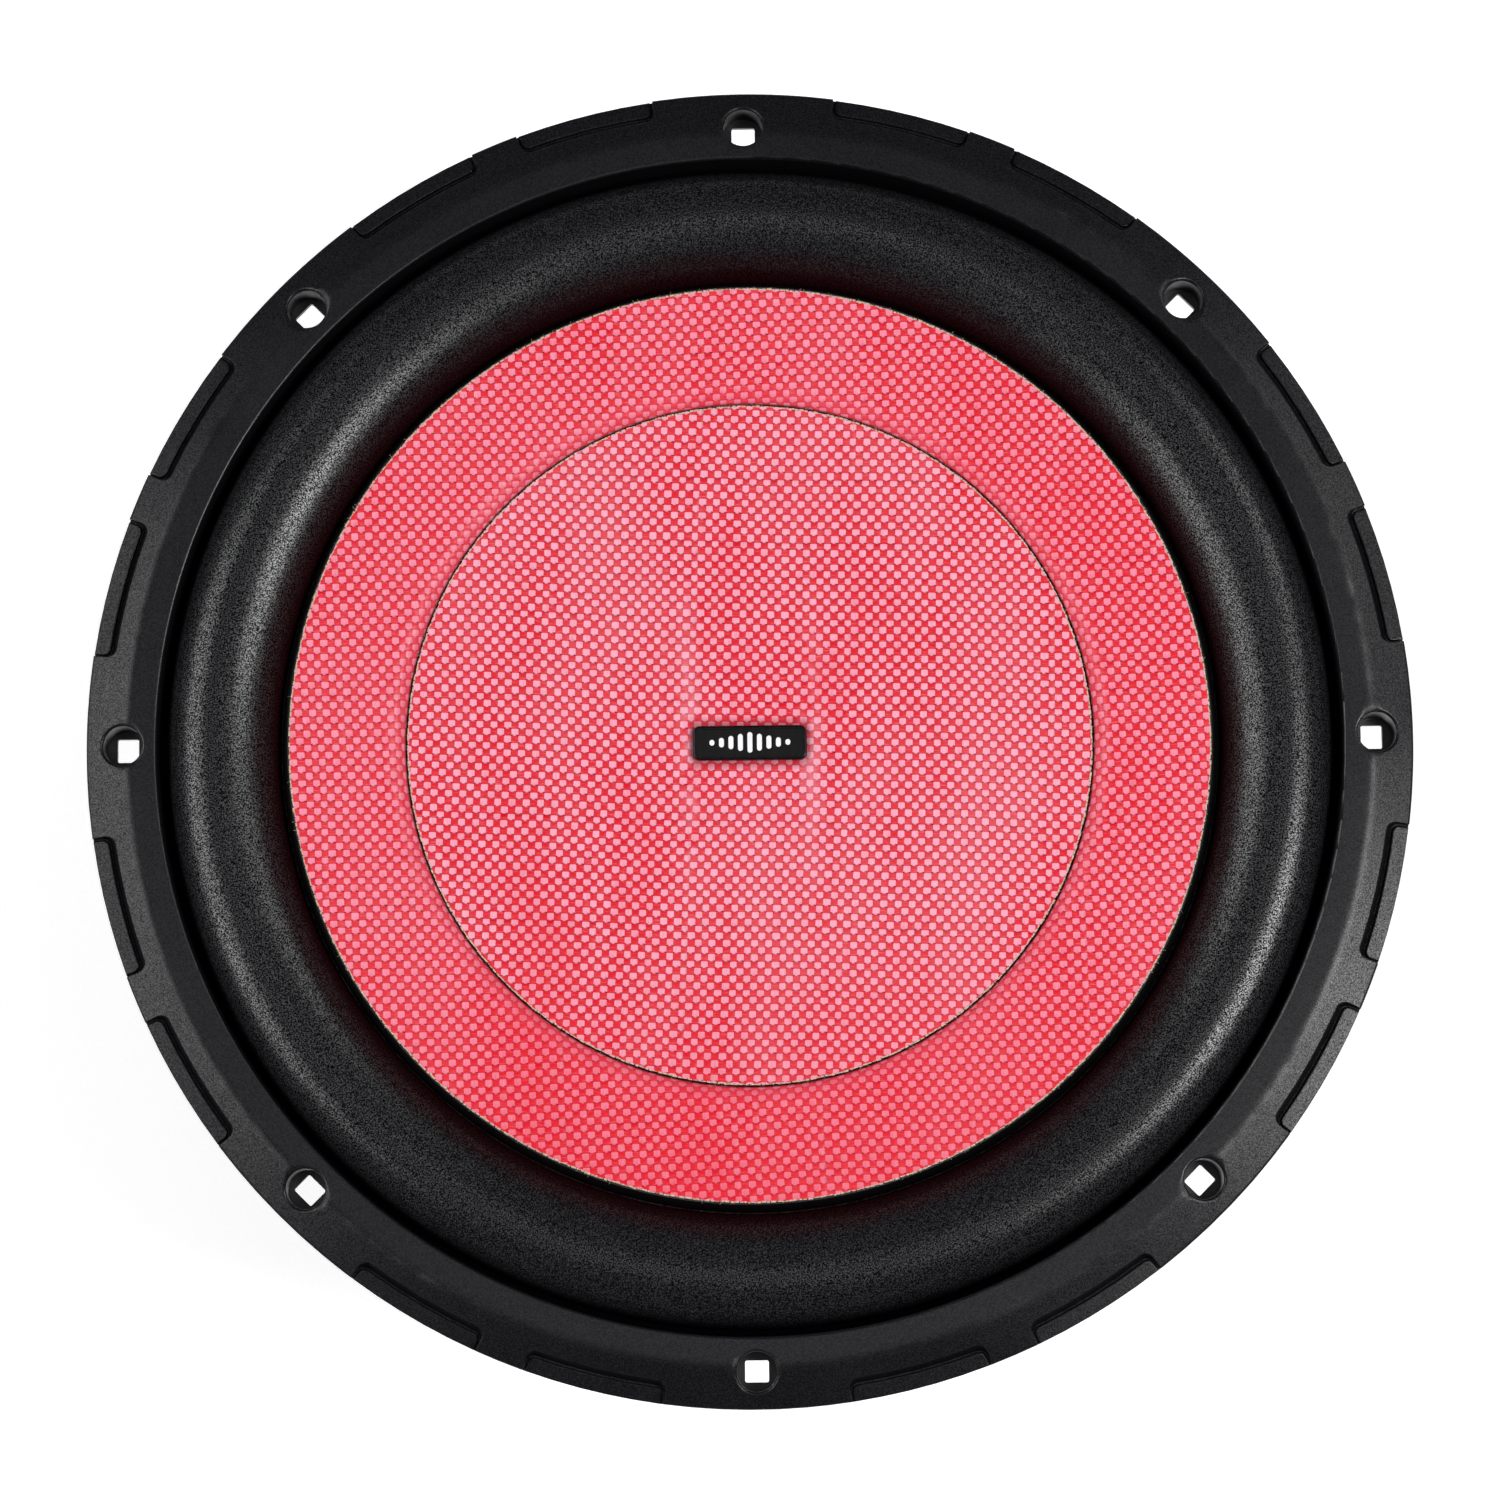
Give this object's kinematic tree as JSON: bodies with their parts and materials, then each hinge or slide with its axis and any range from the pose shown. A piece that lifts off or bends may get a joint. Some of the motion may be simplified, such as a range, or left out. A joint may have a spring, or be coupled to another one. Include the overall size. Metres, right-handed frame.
{
  "type": "car subwoofer driver",
  "caption": "Round car subwoofer driver: red woven cone and dust cap, black roll surround, rubber trim ring, steel basket and magnet motor; the cone slides and buttons grip the wires.",
  "frame": {"origin": "centre of the screw circle, on the front face of the steel flange", "axes": "+Z along the cone's axis towards the listener, +X right and +Y up seen from the front"},
  "size_m": [0.32, 0.32, 0.156],
  "materials": {
    "basket_steel": "black powder coat, fine texture",
    "ring_rubber": "moulded rubber, satin",
    "surround_foam": "closed-cell foam, matte with a fine grain",
    "cone_moulding": "moulded, dull black",
    "woven_red": "woven glass fibre set in clear resin",
    "bead_adhesive": "glossy black adhesive",
    "badge_black": "gloss black",
    "badge_silver": "silver white",
    "former_metal": "rolled foil, satin",
    "copper_wire": "enamelled copper",
    "collar_paper": "kraft paper wrap",
    "spider_cloth": "resin-dipped cotton weave",
    "motor_steel": "black zinc, satin",
    "ferrite": "sintered and ground",
    "boot_rubber": "moulded rubber, satin",
    "zinc_fastener": "bright zinc",
    "terminal_plastic": "moulded, fine grain",
    "button_red": "gloss red",
    "button_black": "gloss black",
    "contact_plate": "nickel plated",
    "spring_steel": "bright wire",
    "tinsel": "woven tinsel"
  },
  "bodies": {
    "frame": {"basket": "basket_steel", "trim_ring": "ring_rubber", "surround": "surround_foam", "spider": "spider_cloth", "top_plate": "motor_steel", "front_magnet": "ferrite", "rear_magnet": "ferrite", "pole_yoke": "motor_steel", "vent_screen": "motor_steel", "magnet_boot": "boot_rubber", "basket_rivets": "zinc_fastener", "terminal_block_right": "terminal_plastic", "contact_strips_right": "contact_plate", "terminal_screw_right": "zinc_fastener", "button_spring_red_right": "spring_steel", "button_spring_black_right": "spring_steel", "terminal_block_left": "terminal_plastic", "contact_strips_left": "contact_plate", "terminal_screw_left": "zinc_fastener", "button_spring_red_left": "spring_steel", "button_spring_black_left": "spring_steel", "tinsel_lead_1": "tinsel", "tinsel_lead_2": "tinsel", "tinsel_lead_3": "tinsel", "tinsel_lead_4": "tinsel"},
    "cone": {"cone_body": "cone_moulding", "cone_skin": "woven_red", "edge_bead": "bead_adhesive", "dust_cap": "woven_red", "cap_adhesive": "bead_adhesive", "badge_plate": "badge_black", "badge_bars": "badge_silver", "voice_coil_former": "former_metal", "voice_coil_inner_winding": "copper_wire", "voice_coil_outer_winding": "copper_wire", "former_collar": "collar_paper", "lead_anchor_pads": "bead_adhesive"},
    "red_right_button": {"push_button_red_right": "button_red"},
    "black_right_button": {"push_button_black_right": "button_black"},
    "red_left_button": {"push_button_red_left": "button_red"},
    "black_left_button": {"push_button_black_left": "button_black"}
  },
  "joints": [
    {"name": "cone_travel", "type": "slide", "parent": "frame", "child": "cone", "axis": [0, 0, 1], "range_m": [-0.012, 0.012], "stiffness_N_per_m": 6000, "deforming": ["surround", "spider", "tinsel_lead_1", "tinsel_lead_2", "tinsel_lead_3", "tinsel_lead_4"]},
    {"name": "red_right_press", "type": "slide", "parent": "frame", "child": "red_right_button", "axis": [-0.6466, 0, 0.7628], "range_m": [0, 0.003], "stiffness_N_per_m": 900, "deforming": ["button_spring_red_right"]},
    {"name": "black_right_press", "type": "slide", "parent": "frame", "child": "black_right_button", "axis": [-0.6466, 0, 0.7628], "range_m": [0, 0.003], "stiffness_N_per_m": 900, "deforming": ["button_spring_black_right"]},
    {"name": "red_left_press", "type": "slide", "parent": "frame", "child": "red_left_button", "axis": [0.6466, 0, 0.7628], "range_m": [0, 0.003], "stiffness_N_per_m": 900, "deforming": ["button_spring_red_left"]},
    {"name": "black_left_press", "type": "slide", "parent": "frame", "child": "black_left_button", "axis": [0.6466, 0, 0.7628], "range_m": [0, 0.003], "stiffness_N_per_m": 900, "deforming": ["button_spring_black_left"]}
  ]
}
